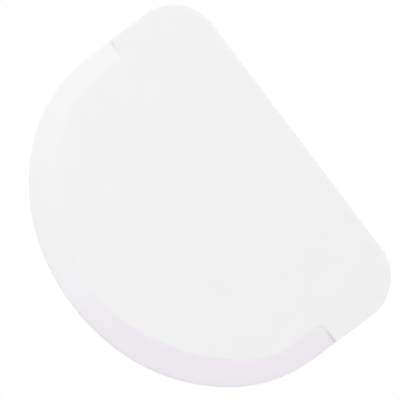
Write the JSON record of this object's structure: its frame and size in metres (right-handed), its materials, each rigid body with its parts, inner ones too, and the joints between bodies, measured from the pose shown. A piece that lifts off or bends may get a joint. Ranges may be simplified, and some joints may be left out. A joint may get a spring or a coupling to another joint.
{
  "type": "pastry scraper",
  "caption": "Flexible D-shaped plastic bowl and dough scraper: straight edge with rounded corners, curved edge thinned by a bevel that ends in a step at each side.",
  "frame": {"origin": "under the middle of the scraper's overall box, on the flat back's plane", "axes": "+X along the straight edge, +Y from the curved edge towards the straight edge, +Z out of the shown face; the flat back lies on z = 0"},
  "size_m": [0.12, 0.0896, 0.0016],
  "materials": {
    "white_plastic": "satin injection-moulded white polypropylene"
  },
  "bodies": {
    "root": {"scraper": "white_plastic"}
  },
  "joints": []
}
